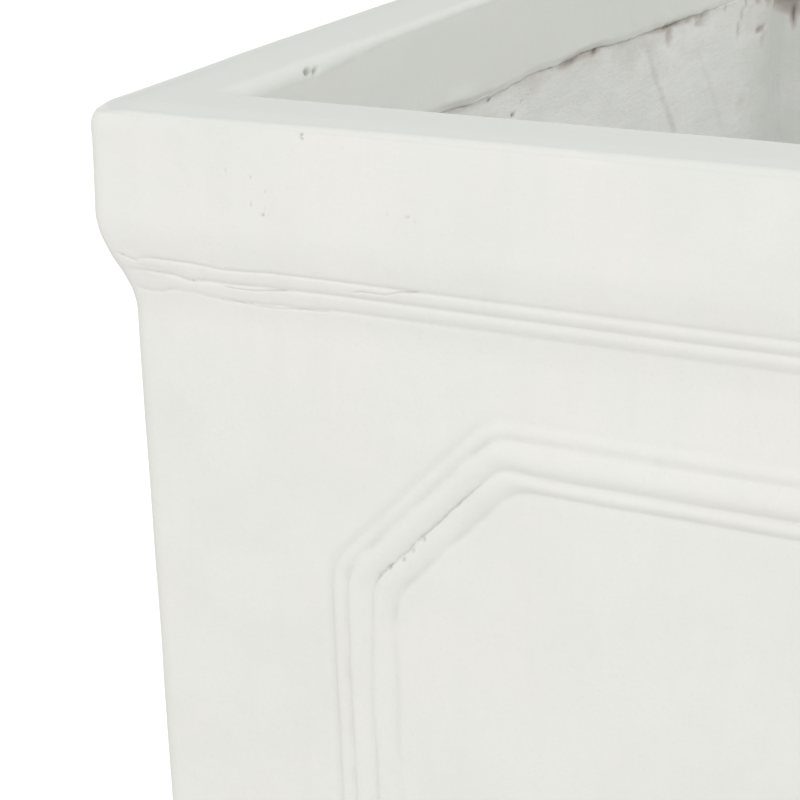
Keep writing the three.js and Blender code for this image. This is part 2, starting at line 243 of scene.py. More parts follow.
# ---- cast skin: torn edge of the return
def torn_depth(side, along):
    """Depth of the lower edge of the return. On the left side it falls away towards the back."""
    from_front = SPAN - along
    left = np.interp(
        from_front,
        [20, 60, 120, 140, 153, 171, 190, 202, 222, 237, 245, 263, 289, 307, 347, 391, 430, 490],
        [
            25.6, 25.0, 25.6, 26.6, 28.0, 28.7, 27.7, 27.4, 28.6,
            29.1, 28.6, 29.5, 31.8, 32.2, 33.5, 35.9, 37.2, 38.0,
        ],
    )
    front = np.interp(along, [20, 60, 150, 300, 420, 490], [25.6, 27.0, 29.0, 27.5, 30.0, 29.0])
    right = np.interp(along, [20, 120, 260, 400, 490], [29.0, 30.5, 28.0, 31.0, 30.0])
    back = np.interp(along, [20, 120, 260, 400, 490], [30.0, 28.5, 31.0, 33.0, 38.0])
    base = np.choose(side, [front, right, back, left])
    coarse = wander(along + SIDE_SHIFT * side, 22.0, 3)
    fine = wander(along + SIDE_SHIFT * side, 4.5, 9)
    followed = np.where(side == LEFT, 0.3, 1.0)
    return base + 0.7 * followed * coarse + 0.45 * np.maximum(followed, 0.7) * fine


def feathering(side, along):
    """How much thinner the return gets as it feathers out at its lower edge."""
    from_front = SPAN - along
    on_left = np.interp(
        from_front,
        [120, 140, 165, 185, 220, 236, 262, 275],
        [0.4, 0.8, 0.75, 0.4, 0.4, 0.9, 0.8, 0.35],
    )
    return np.where(side == LEFT, on_left, 0.8)


def edge_stain_and_shade(side, along):
    """How dark the torn edge is, from 0 to 1: brown dirt, and painted shade in the crevice under the return.
    """
    station = along + STAIN_SHIFT * side
    usual = 0.3 + 0.3 * wander(station, 24.0, 6)
    from_front = SPAN - along
    on_left = np.interp(
        from_front,
        [0, 130, 146, 164, 180, 200, 207, 222, 230, 262, 272, 308, 320, 334, 382, 392, 402],
        [0.15, 0.2, 0.4, 0.25, 0.45, 0.4, 0.15, 0.25, 0.85, 0.85, 0.22, 0.22, 0.6, 0.85, 0.7, 0.2, 0.0],
    )
    return np.where(side == LEFT, on_left * (1 + 0.35 * wander(station, 5.0, 8)), usual)


# ---- cast skin: beads under the lip
def bead_lines(side, along):
    """Depths of the three grooves that bound the two beads, as they wander along a side."""
    station = along + SIDE_SHIFT * side
    first = 32.0 + 0.25 * wander(station, 40.0, 1)
    second = 35.3 + 0.3 * wander(station, 33.0, 2)
    third = 38.8 + 0.3 * wander(station, 45.0, 4)
    on_front = side == FRONT
    front_first = np.interp(
        along,
        [6, 8, 9.7, 10.5, 14, 22, 30, 35, 41, 54, 69, 129],
        [31.5, 32.1, 32.6, 32.0, 31.6, 31.7, 32.3, 32.1, 31.7, 31.6, 31.7, 32.1],
    )
    front_second = np.interp(
        along,
        [9, 13, 18, 22, 25, 36, 45, 53, 69, 129],
        [35.0, 34.9, 35.0, 35.9, 35.5, 35.3, 35.1, 34.9, 35.0, 35.4],
    )
    front_third = np.interp(
        along,
        [8, 11, 13.5, 16.5, 22, 26, 30, 36, 39, 42, 46, 53, 89, 129],
        [39.0, 39.7, 39.5, 38.6, 38.5, 39.1, 39.5, 39.2, 39.5, 38.9, 39.1, 38.5, 38.6, 39.0],
    )
    torn = 0.2 * wander(along, 2.2, 6) * smooth(66, 24, along)
    first = np.where(on_front, front_first + 0.4 * torn, first)
    second = np.where(on_front, front_second + torn, second)
    third = np.where(on_front, front_third + 1.3 * torn, third)
    return first, second, third


def bead_height(side, along, depth, points):
    """Height of the two beads, and how deep the fine grooves between them are cut."""
    first, second, third = bead_lines(side, along)
    from_end = np.minimum(along, SPAN - along)
    clear = smooth(45, 120, from_end)
    upper = np.clip((depth - first) / (second - first), 0, 1)
    lower = np.clip((depth - second) / (third - second), 0, 1)
    crowns = np.sin(np.pi * upper) + np.sin(np.pi * lower)
    height = (0.2 + 0.2 * clear) * crowns * smooth(4, 20, from_end)
    smeared = smooth(-0.2, 0.5, value_noise(points, (6, 6, 1.4), 3)) * smooth(56, 16, from_end)
    grooves = [  # line, then how deep and how wide near the corner and away from it
        (first, 0.32, 0.23, 0.36, 0.8),
        (second, 0.26, 0.14, 0.46, 0.9),
        (third, 0.2, 0.11, 0.44, 1.3),
    ]
    cut = np.zeros_like(depth)
    for line, near_deep, far_deep, near_wide, far_wide in grooves:
        deep = near_deep + (far_deep - near_deep) * clear
        wide = near_wide + (far_wide - near_wide) * clear
        cut = np.maximum(cut, deep * hump(depth - line, wide))
    cut *= smooth(4, 11, from_end) * (1 - 0.65 * smeared)
    return height - cut, cut


def hairline(along, depth, line, width):
    """How strongly a point lies on a fine crack that follows a line of (along, depth) points."""
    line = np.asarray(line, float)
    middle = np.interp(along, line[:, 0], line[:, 1])
    begun = smooth(line[0, 0] - 1, line[0, 0] + 1.5, along)
    going = smooth(line[-1, 0] + 1, line[-1, 0] - 1.5, along)
    return begun * going * hump(depth - middle, width)


# ---- cast skin: framed panel
FRAME_TOP = 57.0
FRAME_BOTTOM = FOOT_DEPTH - 46.0
FRAME_SIDE = 50.7
CHAMFER_WIDE = 35.3
CHAMFER_HIGH = 37.2
FRAME_EASE = 1.3


def soft_minimum(values, ease):
    """The least of several distances, rounded where two are nearly equal."""
    stack = np.stack(values)
    low = stack.min(0)
    return low - ease * np.log(np.exp(-(stack - low) / ease).sum(0))


def frame_distance(along, depth):
    """Distance inwards from the moulding's outer edge, and whether a level run is the nearest."""
    side_edge = FRAME_SIDE + TAPER * (depth - FRAME_TOP)
    left = along - side_edge
    right = (SPAN - side_edge) - along
    top = depth - FRAME_TOP - 0.9 * smooth(84, 165, along)
    bottom = FRAME_BOTTOM - depth
    slope = math.hypot(CHAMFER_WIDE, CHAMFER_HIGH)
    chamfers = []
    for beside in (left, right):
        for above in (top, bottom):
            share = beside / CHAMFER_WIDE + above / CHAMFER_HIGH - 1
            chamfers.append(share * CHAMFER_WIDE * CHAMFER_HIGH / slope)
    distance = soft_minimum([left, right, top, bottom, *chamfers], FRAME_EASE)
    others = np.minimum.reduce([left, right, *chamfers])
    level = smooth(-3, 6, others - np.minimum(top, bottom))
    return distance, level


def frame_height(along, depth, points):
    """Height of the three beads above the wall, and the depth of the grooves beside them."""
    distance, level = frame_distance(along, depth)
    distance = distance + 0.2 * value_noise(points, 14, 2) * smooth(-2, 3, distance)
    first = 3.6
    drift = np.interp(depth, [97, 105, 113, 124, 138], [0.1, 0.6, 0.0, -0.45, 0.0])
    second = 9.0 + 1.75 * level + drift * (1 - level)
    last = 14.2 + 0.3 * level
    base = 0.4
    outer = np.clip(distance / first, 0, 1)
    middle = np.clip((distance - first) / (second - first), 0, 1)
    inner = np.clip((distance - second) / (last - second), 0, 1)
    on_outer = (distance > 0) & (distance <= first)
    on_middle = (distance > first) & (distance <= second)
    on_inner = (distance > second) & (distance < last)
    height = np.where(distance <= 0, 0.25 * smooth(-6, 0, distance), 0)
    rise = 0.25 + (base - 0.25) * outer
    height = np.where(on_outer, rise + 0.5 * np.sin(np.pi * outer), height)
    bulge = np.sin(np.pi * middle ** (1 + 0.25 * level))
    height = np.where(on_middle, base + (0.85 + 0.25 * level) * bulge, height)
    height = np.where(on_inner, base * (1 - inner) + (0.65 + 0.2 * level) * np.sin(np.pi * inner), height)
    worn = 0.8 + 0.45 * value_noise(points, 4, 4)
    cut = (0.26 - 0.1 * level) * worn * hump(distance - first, 0.8 - 0.2 * level)
    cut = np.maximum(cut, 0.22 * hump(distance - second, 0.6 + 0.4 * level))
    last_cut = hump(distance - last, 0.9 + 0.5 * level)
    cut = np.maximum(cut, (0.24 - 0.1 * level) * worn * last_cut)
    cut = np.maximum(cut, 0.22 * hump(distance, 1.5) * (1 - level))
    return height - cut, cut


# ---- cast skin: chips and pits
FRONT_PITS = [  # along, depth, radius, how deep
    (32.1, 11.2, 0.28, 0.3), (37.7, 12.1, 0.28, 0.35), (37.7, 17.6, 0.28, 0.35),
    (40.3, 19.4, 0.32, 0.5), (40.8, 18.2, 0.25, 0.25), (40.8, 14.7, 0.28, 0.3),
    (67.1, 16.7, 0.28, 0.3), (71.4, 16.6, 0.28, 0.4), (73.0, 17.5, 0.26, 0.25),
    (78.1, 126.0, 0.5, 0.3), (23.5, 2.7, 1.6, 0.08), (22.2, 35.8, 0.3, 0.2),
    (28.4, 39.3, 0.3, 0.2), (35.0, 39.3, 0.3, 0.15), (6.6, 31.7, 0.4, 0.2),
    (68.8, 90.7, 0.6, 0.4), (73.3, 85.4, 0.55, 0.35), (71.0, 88.3, 0.5, 0.35),
    (65.6, 93.2, 0.5, 0.25),
]
CRESCENT = (49.2, 3.0, 0.5)  # along, depth and radius of a burst bubble's open ring


def pit_depth(along, depth, side):
    total = np.zeros_like(depth)
    for pit_along, pit_down, radius, deep in FRONT_PITS:
        away = np.hypot(along - pit_along, depth - pit_down)
        total = np.maximum(total, deep * hump(away, radius, 4))
    x, y = along - CRESCENT[0], depth - CRESCENT[1]
    ring = hump(np.hypot(x, y) - CRESCENT[2], 0.2) * smooth(0.3, -0.1, x)
    total = np.maximum(total, 0.55 * ring)
    return total * (side == FRONT)


def spread_round_corners(values):
    """Carries a value given on the straight runs evenly round each corner between them."""
    for index in np.flatnonzero(columns.on_corner):
        before = index - 1
        while columns.on_corner[before]:
            before -= 1
        after = index
        while columns.on_corner[after % columns.count]:
            after += 1
        share = (index - before) / (after - before)
        values[index] = values[before] * (1 - share) + values[after % columns.count] * share
    return values


def skin_rows(torn, inner_edge, feather):
    """The closed section of the shell, in rows: inset, depth, corner radius, way outwards and zone."""
    rows = []

    def row(inset, depth, radius, push=(0.0, 0.0), zone="back"):
        spread = np.ones(columns.count)
        rows.append((inset * spread, depth * spread, radius * spread, push, zone))

    return_top = inner_edge + 0.6
    for share in np.concatenate([np.linspace(0, 0.24, 13), np.linspace(0.24, 1, 16)[1:]]):
        depth = (torn - 0.6) * (1 - share) + return_top * share
        thinned = feather * smooth(2.6, 0.4, torn - depth)
        row(RIM_WIDTH - thinned, depth, INNER_CORNER + thinned, (1.0, 0.0), "return")
    for angle in np.linspace(0, math.pi / 2, 13):
        inset = RIM_WIDTH - inner_edge * (1 - math.cos(angle))
        depth = inner_edge * (1 - math.sin(angle))
        push = (math.cos(angle), -math.sin(angle))
        row(inset, depth, INNER_CORNER + RIM_WIDTH - inset, push, "inner_edge")
    for share in np.concatenate([np.linspace(0, 0.7, 10)[1:], np.linspace(0.7, 1, 8)[1:-1]]):
        inset = (RIM_WIDTH - inner_edge) * (1 - share) + OUTER_EDGE * share
        radius = (INNER_CORNER + inner_edge) * (1 - share) + LIP_CORNER * share
        row(inset, EDGE_FALL * smooth(8, OUTER_EDGE, inset), radius, (0.0, -1.0), "top")
    for angle in np.linspace(0, math.pi / 2, 7):
        inset = OUTER_EDGE * (1 - math.sin(angle))
        depth = EDGE_FALL + OUTER_EDGE * (1 - math.cos(angle))
        row(inset, depth, LIP_CORNER, (-math.sin(angle), -math.cos(angle)), "outer_edge")
    face_depths = graded([
        (OUTER_EDGE + EDGE_FALL, 0.22), (3.8, 0.7), (9.0, 0.4), (21.0, 0.7), (31.0, 0.22),
        (40.5, 0.8), (50.0, 0.7), (62.0, 0.5), (68.0, 0.36), (97.0, 0.6), (101.0, 2.0),
        (165.0, 11.0), (385.0, 1.4), (432.0, 7.0),
    ], 474.0)[1:]
    for depth in face_depths:
        row(float(outside_inset(np.array(depth))), depth, LIP_CORNER, (-1.0, 0.0), "face")
    foot = float(body_inset(FOOT_DEPTH))
    for angle in np.linspace(0, math.pi / 2, 5):
        inset = foot + FOOT_EDGE * (1 - math.cos(angle))
        row(inset, FOOT_DEPTH - FOOT_EDGE + FOOT_EDGE * math.sin(angle), LIP_CORNER)
    row(foot + FACE, FOOT_DEPTH, BACK_CORNER)
    row(foot + FACE, FOOT_DEPTH - FOOT_EDGE, BACK_CORNER)
    row(float(body_inset(CURVE_BOTTOM)) + FACE, CURVE_BOTTOM, BACK_CORNER)
    row(FACE, CURVE_TOP, BACK_CORNER)
    row(FACE, FACE, BACK_CORNER)
    row(RETURN_BACK, FACE, INNER_CORNER)
    row(RETURN_BACK, torn - 1.2, INNER_CORNER)
    row(RETURN_BACK + 0.3, torn - 0.4, INNER_CORNER, (0.0, 0.0), "lip")
    row(RETURN_BACK + 1.4 - 0.6 * feather, torn - 0.05, INNER_CORNER, (0.0, 0.0), "lip")
    row(RIM_WIDTH - 0.5 - feather, torn - 0.12, INNER_CORNER, (0.0, 0.0), "lip")
    return rows


def front_cracks(along, depth):
    """Fine cracks and a cast flash line among the beads near the front's left end."""
    lines = [
        ([(29.5, 36.1), (32, 36.4), (37, 36.2), (41, 35.7), (44, 35.3)], 0.2, 0.9),
        ([(29, 38.7), (34, 39.7), (40, 39.9), (47, 39.2), (53, 39.0)], 0.2, 0.6),
        ([(58.5, 33.7), (61, 33.2), (66, 33.3), (69, 32.3), (73, 31.8)], 0.2, 0.9),
        ([(8.5, 33.4), (12, 33.8), (16, 33.7)], 0.25, 0.3),
        ([(4.5, 30.6), (7, 31.8), (9.7, 32.8)], 0.3, 0.5),
    ]
    total = np.zeros_like(depth)
    for line, width, strength in lines:
        total = np.maximum(total, strength * hairline(along, depth, line, width))
    return total


def slit_beside_bead(along, depth, points):
    """The open slit along the inner bead of the front's upper left chamfer."""
    distance, level = frame_distance(along, depth)
    on_chamfer = (along < 100) & (depth < 102) & (level < 0.5)
    station = (along - depth) / math.sqrt(2)
    ragged = 0.2 * wander(station, 5.0, 6) + 0.25 * value_noise(points, 1.5, 4)
    width = 0.18 * (1 + 0.5 * value_noise(points, 1.6, 1))
    slit = hump(distance - 9.1 + ragged, width)
    slit *= smooth(99, 93, depth) * smooth(68, 80, depth)
    open_here = smooth(-0.6, 0.2, value_noise(points, 3.2, 2))
    return np.where(on_chamfer, slit * (0.5 + 0.5 * open_here), 0)


def edge_damage(points):
    """The chip and the crack at the inner edge of the left side, as how far each is broken out."""
    total = np.zeros(points.shape[:-1])
    bites = [  # from the front, inset, depth, size along, size across, how deep
        (59.7, 22.0, 2.3, 1.5, 0.8, 1.4),
        (62.5, 22.3, 3.0, 0.9, 0.6, 1.1),
        (63.9, 22.1, 2.4, 0.7, 0.5, 0.9),
        (61.4, 22.3, 3.2, 3.2, 1.4, 0.25),
        (21.5, 22.0, 0.6, 0.7, 2.2, 0.25),
    ]
    for from_front, inset, depth, along_size, across_size, deep in bites:
        centre = np.array([-HALF + inset, -HALF + from_front, HEIGHT - depth])
        away = np.linalg.norm((points - centre) / [across_size, along_size, across_size], axis=-1)
        away = away * (1 + 0.25 * value_noise(points, 1.1, 2))
        total = np.maximum(total, deep * hump(away, 1, 3))
    return total


def front_left_corner(points, inset, depth):
    """The upright corner between the front and the left side, hollow below the lip and rubbed round above.

    Returns how far it is hollowed, how far the rim dips towards it, and how far its edge goes in and down.
    """
    from_corner = np.hypot(points[..., 0] + HALF, points[..., 1] + HALF)
    near = smooth(30, 8, from_corner)
    hollow = np.interp(
        depth,
        [16, 24, 28, 33, 36, 40, 47, 55, 70, 110, 155],
        [0.0, 0.0, -0.05, 0.05, 0.35, 0.5, 0.42, 0.3, 0.15, 0.0, -0.2],
    )
    hollowed = hollow * near - 0.17 * near * hump(depth - 4.8, 2.2)
    dip = 0.5 * smooth(80, 20, from_corner) * smooth(10, 2, inset)
    rubbed = smooth(10, 2, from_corner) * smooth(8, OUTER_EDGE, inset)
    return hollowed, dip, 1.3 * rubbed * hump(depth, 2.6), 0.7 * rubbed * hump(depth - 0.5, 1.2)


def cast_skin():
    nominal = np.where(columns.on_corner, SPAN - 2, columns.scale_x * (HALF - RIM_WIDTH) + HALF)
    torn = spread_round_corners(torn_depth(columns.side, nominal))
    from_front = SPAN - nominal
    worn = smooth(100, 55, from_front) * (columns.side == LEFT)
    inner_edge = INNER_EDGE + 2.0 * worn * (0.8 + 0.4 * wander(nominal, 9.0, 5))
    feather = spread_round_corners(feathering(columns.side, nominal))
    torn_edge_shade_and_stain = spread_round_corners(edge_stain_and_shade(columns.side, nominal))[None, :]
    rows = skin_rows(torn, inner_edge, feather)
    inset, depth, radius = (np.stack([item[i] for item in rows]) for i in range(3))
    push_inset, push_depth = (np.array([item[3][i] for item in rows])[:, None] for i in range(2))
    zone = np.array([item[4] for item in rows])[:, None]
    points, along = columns.place(inset, depth, radius)
    straight = ~columns.on_corner[None, :]
    along = np.where(straight, along, SPAN)
    side = np.broadcast_to(columns.side[None, :], depth.shape)
    face = (zone == "face") & straight
    on_front = face & (side == FRONT)

    relief = np.zeros_like(depth)
    dirt_and_shade = np.zeros_like(depth)

    # Carving also darkens the colour by the depth cut: painted shade in the cracks, slit, pits and chips,
    # with some dirt.
    def carve(where, amount, shade_and_stain):
        nonlocal relief, dirt_and_shade
        amount = np.where(where, amount, 0)
        relief = relief - amount
        dirt_and_shade = dirt_and_shade + shade_and_stain * amount

    # The grooves of the beads and the frame are darkened by how deep they are cut: painted shade in the
    # grooves, with some dirt.
    beads, bead_cut = bead_height(side, along, depth, points)
    near_beads = face & (depth > 28) & (depth < 43)
    relief += np.where(near_beads, beads, 0)
    dirt_and_shade += np.where(near_beads, bead_cut, 0)
    frame_relief, frame_cut = frame_height(along, depth, points)
    framed = face & (depth > 50)
    relief += np.where(framed, frame_relief, 0)
    dirt_and_shade += np.where(framed, frame_cut, 0)
    carve(on_front, 0.3 * front_cracks(along, depth), 1.4)
    carve(on_front & framed, 0.5 * slit_beside_bead(along, depth, points), 1.4)
    carve((zone != "back") & straight, pit_depth(along, depth, side) * on_front, 1.2)

    # a flat bruise on the front outer edge, and small nicks along the rim's edges
    bruise = hump(along - 108, 3.6, 4) * hump(depth - 1.4, 1.3) * (side == FRONT)
    edges = (zone == "outer_edge") | (zone == "inner_edge")
    carve((zone == "outer_edge") | face, 0.45 * bruise, 0.1)
    carve(edges, 0.2 * smooth(0.5, 0.95, value_noise(points, 3.2, 0)), 0.0)
    inner = (zone == "inner_edge") | (zone == "return") | (zone == "top")
    carve(inner, edge_damage(points), 0.9)

    outer = (zone == "outer_edge") | (zone == "face") | (zone == "top")
    hollowed, dip, pushed_in, pushed_down = front_left_corner(points, inset, depth)
    carve(outer, hollowed, 0.0)
    carve((zone == "outer_edge") | (zone == "top"), -push_depth * dip, 0.0)

    # hand-worked unevenness everywhere that shows
    shows = (zone != "back") & (zone != "lip")
    waves = 0.2 * value_noise(points, (75, 75, 60), 0) + 0.08 * value_noise(points, (24, 24, 20), 1)
    ripples = 0.03 * value_noise(points, 6, 2)
    settled = 0.1 + 0.18 * smooth(44, 20, depth)
    relief += np.where(shows, waves + ripples - settled, 0)
    lumps = 0.32 * value_noise(points, (16, 16, 9), 3) + 0.16 * value_noise(points, (5, 5, 4), 4)
    from_edge = torn[None, :] - depth
    relief += np.where(zone == "return", lumps * (0.35 + 0.65 * smooth(9, 2, from_edge)), 0)
    # The return's last few millimetres grade dark towards its torn edge: painted shade over the crevice,
    # with brown dirt.
    patchy = 0.6 + 0.4 * value_noise(points, (7, 7, 2.5), 1)
    edge_dirt_and_shade = torn_edge_shade_and_stain * (0.15 + 0.85 * torn_edge_shade_and_stain) * patchy * smooth(2.4, 0.3, from_edge)
    dirt_and_shade += np.where(zone == "return", edge_dirt_and_shade, 0)
    swelling = hump(along + 150 - SPAN, 9) * hump(depth - 24.0, 2.2)
    relief += np.where((zone == "return") & (side == LEFT), 0.45 * swelling, 0)
    lip_bits = 0.3 * value_noise(points, 2.5, 2)
    inset = inset + push_inset * relief + np.where(outer, pushed_in, 0)
    inset = inset + np.where(zone == "lip", lip_bits, 0)
    depth = depth + push_depth * relief + np.where(outer, pushed_down, 0)
    depth[-3:] += 0.25 * value_noise(points[-3:], 2.2, 1)
    # The lip rows under the torn edge are darkened: painted shade in the crevice, with some dirt.
    dirt_and_shade = np.maximum(np.clip(dirt_and_shade, 0, 1), np.where(zone == "lip", 0.1 + 0.6 * torn_edge_shade_and_stain, 0))
    # The top, the inner edge, the return and the lip get a greener, darker tone: partly dust, partly painted
    # shade for faces turned away from the key light.
    dust_and_shade_tone_zones = {"top": 1.0, "inner_edge": 0.85, "return": 0.6, "lip": 0.6, "outer_edge": 0.4}
    dust_and_shade_tone = np.array([dust_and_shade_tone_zones.get(item, 0.0) for item in zone[:, 0]])[:, None] * np.ones_like(depth)

    points, _ = columns.place(inset, depth, radius)
    quads = grid_quads(len(rows), columns.count, True, True)
    marks = {"dirt_and_shade": dirt_and_shade, "dust_and_shade_tone": dust_and_shade_tone}
    piece = make_object("cast_skin", points.reshape(-1, 3), quads, marks=marks)
    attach(piece, "planter")
    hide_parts("face_shell")
    return piece


# ---- hand-laid lining
LAPS = [  # on the left wall: from the front and depth at both ends of each overlapped mat edge, its step
    (318.0, 40.7, 351.0, 74.8, 0.6),
    (377.0, 50.2, 398.0, 74.1, 0.35),
]
HOLLOWS = [  # on the left wall: from the front, depth, reach along, reach down, how deep, how brown and dark (brown soil with painted shade in the hollow)
    (341.0, 37.0, 5.0, 4.6, 0.8, 0.5), (364.0, 35.8, 6.5, 1.8, 0.8, 0.55),
    (377.0, 39.2, 7.5, 1.8, 0.8, 0.45), (456.5, 53.3, 8.0, 1.6, 1.0, 0.7),
    (460.4, 58.5, 5.0, 3.5, 0.5, 0.3), (434.5, 39.5, 2.6, 3.6, 0.6, 0.42),
    (428.5, 43.5, 2.6, 3.6, 0.6, 0.4), (423.5, 48.0, 2.6, 3.4, 0.6, 0.42),
    (406.5, 37.5, 2.4, 3.0, 0.4, 0.3), (455.0, 41.0, 9.0, 3.0, 1.0, 0.6),
    (172.6, 29.6, 1.3, 0.5, 0.25, 0.9), (190.3, 37.1, 1.2, 0.6, 0.5, 1.0),
    (197.3, 34.5, 1.1, 0.5, 0.3, 0.6), (428.0, 77.0, 8.0, 5.0, 0.3, 0.16),
    (469.0, 40.5, 8.0, 5.0, 0.1, 0.7),
]


def lining_relief(side, along, depth, points):
    """Roughness of the mortar pressed on by hand, positive into the cavity, and how brown and dark it is:
    brown soil, and painted shade in its hollows and along the laps.
    """
    coarse = 0.6 * fractal(points, (60, 60, 26), 2, 0)
    dabs = 0.3 * fractal(points, (28, 28, 9), 3, 2)
    streaks = 0.05 * value_noise(points, (12, 12, 4), 4) + 0.05 * value_noise(points, (4, 4, 2.4), 1)
    relief = coarse + dabs + streaks
    brown = np.zeros_like(depth)
    if side == LEFT:
        from_front = SPAN - along
        relief = relief * 0.6
        for near_y, near_d, far_y, far_d, step in LAPS:
            slope = (far_d - near_d) / (far_y - near_y)
            edge = near_y + (depth - near_d) / slope + 1.2 * wander(depth, 16.0, 7)
            away = from_front - edge
            inside = smooth(near_d - 11, near_d - 3, depth)
            relief += inside * step * (smooth(-2.5, 2.5, away) - smooth(4, 40, away))
            # painted shade along the foot of each lap's step
            brown += inside * step * 0.3 * hump(away + 0.5, 3.2)
        ragged = 1 + 0.35 * value_noise(points, (5, 5, 2.4), 3)
        ragged += 0.2 * value_noise(points, (1.8, 1.8, 1.2), 0)
        bites = np.zeros_like(depth)
        for y, d, reach, drop, deep, tint in HOLLOWS:
            away = np.hypot((from_front - y) / reach, (depth - d) / drop) * ragged
            bite = hump(away, 1, 2.2)
            bites = np.maximum(bites, deep * bite)
            brown = np.maximum(brown, tint * bite)
        relief -= bites
    return relief, brown


def crevice(side, along):
    """How far the mortar stands below the torn edge of the return."""
    station = along + STAIN_SHIFT * side
    usual = 0.25 + 0.5 * smooth(-0.2, 0.8, wander(station, 30.0, 8))
    from_front = SPAN - along
    on_left = np.interp(
        from_front,
        [0, 205, 228, 262, 280, 308, 325, 372, 392, 508],
        [0.0, 0.0, 0.2, 0.2, 0.0, 0.0, 0.25, 0.25, 0.0, 0.0],
    )
    return np.where(side == LEFT, on_left * (1 + 0.5 * wander(station, 6.0, 8)) - 0.08, usual)


def back_swelling(depth):
    """On the left wall the mortar is thicker towards the back, where it runs flush with the return."""
    return 2.6 * smooth(260, 120, depth)


def lining(name, side, node, column_step, row_steps):
    end_inset = 19.9
    run = np.arange(end_inset, SPAN - end_inset + 0.01, column_step)
    sides = np.full(len(run), side)
    gap = crevice(sides, run)
    top = torn_depth(sides, run) + gap
    fine_step, coarse_step = row_steps
    height = WALL_BOTTOM - 30
    stations = graded([(0, fine_step / 2), (12, fine_step), (80, coarse_step)], height)
    shares = np.append(stations, height) / height
    depth = top[None, :] + (WALL_BOTTOM - top[None, :]) * shares[:, None]
    along = np.broadcast_to(run[None, :], depth.shape)
    inset = lining_inset(depth) + 0.35
    x, y = turned(along - HALF, -(HALF - inset), side)
    points = np.stack([x, y, HEIGHT - depth], -1)
    relief, brown = lining_relief(side, along, depth, points)
    below = depth - top
    brow = smooth(0, 1.6, below)
    from_end = np.minimum(along, SPAN - along) - end_inset
    relief = relief * smooth(4, 26, from_end) * (0.3 + 0.7 * brow) - 0.7 * gap * (1 - brow)
    if side == LEFT:
        relief += back_swelling(depth) * smooth(350, 425, SPAN - along)
        relief += 0.7 * smooth(24, 3, below) * smooth(300, 262, SPAN - along)
    ragged = 1 + 0.4 * value_noise(points, (9, 9, 2.4), 0)
    # Darker just below the return's torn edge and for the first 26 mm down: painted shade under the
    # overhanging return, with brown soil.
    edge_soil_and_shade = edge_stain_and_shade(sides, run)[None, :]
    soiled_and_shaded = edge_soil_and_shade * (0.25 * smooth(6.0, 0.5, below) + 0.6 * edge_soil_and_shade * smooth(3.2, 0.8, below))
    brown = np.maximum(brown, soiled_and_shaded * ragged)
    patchy = 0.55 + 0.45 * value_noise(points, (52, 52, 10), 1)
    stained_and_shaded = 0.34 * smooth(26, 4, below) * patchy * smooth(4, 40, from_end)
    brown = np.clip(np.maximum(brown, stained_and_shaded), 0, 1)
    inset = inset + relief
    inset = np.where(depth < CORE_BOTTOM, np.maximum(inset, CORE_FACE + 0.25), inset)
    back_top = np.broadcast_to(body_inset(top) + FACE + 0.5, top.shape)
    back_bottom = np.full((1, len(run)), body_inset(WALL_BOTTOM) + FACE + 0.5)
    rows_inset = np.concatenate([back_top[None, :] + 1.0, inset, back_bottom])
    rows_depth = np.concatenate([top[None, :], depth, np.full((1, len(run)), WALL_BOTTOM)])
    rows_brown = np.concatenate([brown[:1], brown, brown[-1:]])
    x, y = turned(along[0][None, :] - HALF + 0 * rows_inset, -(HALF - rows_inset), side)
    points = np.stack([x, y, HEIGHT - rows_depth], -1)
    rows, count = rows_inset.shape
    quads = grid_quads(rows, count, True, False)
    caps = [[r * count for r in range(rows)], [r * count + count - 1 for r in range(rows)][::-1]]
    piece = make_object(name, points.reshape(-1, 3), quads, caps, marks={"dirt_and_shade": rows_brown})
    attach(piece, "planter")
    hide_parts(node)
    return piece


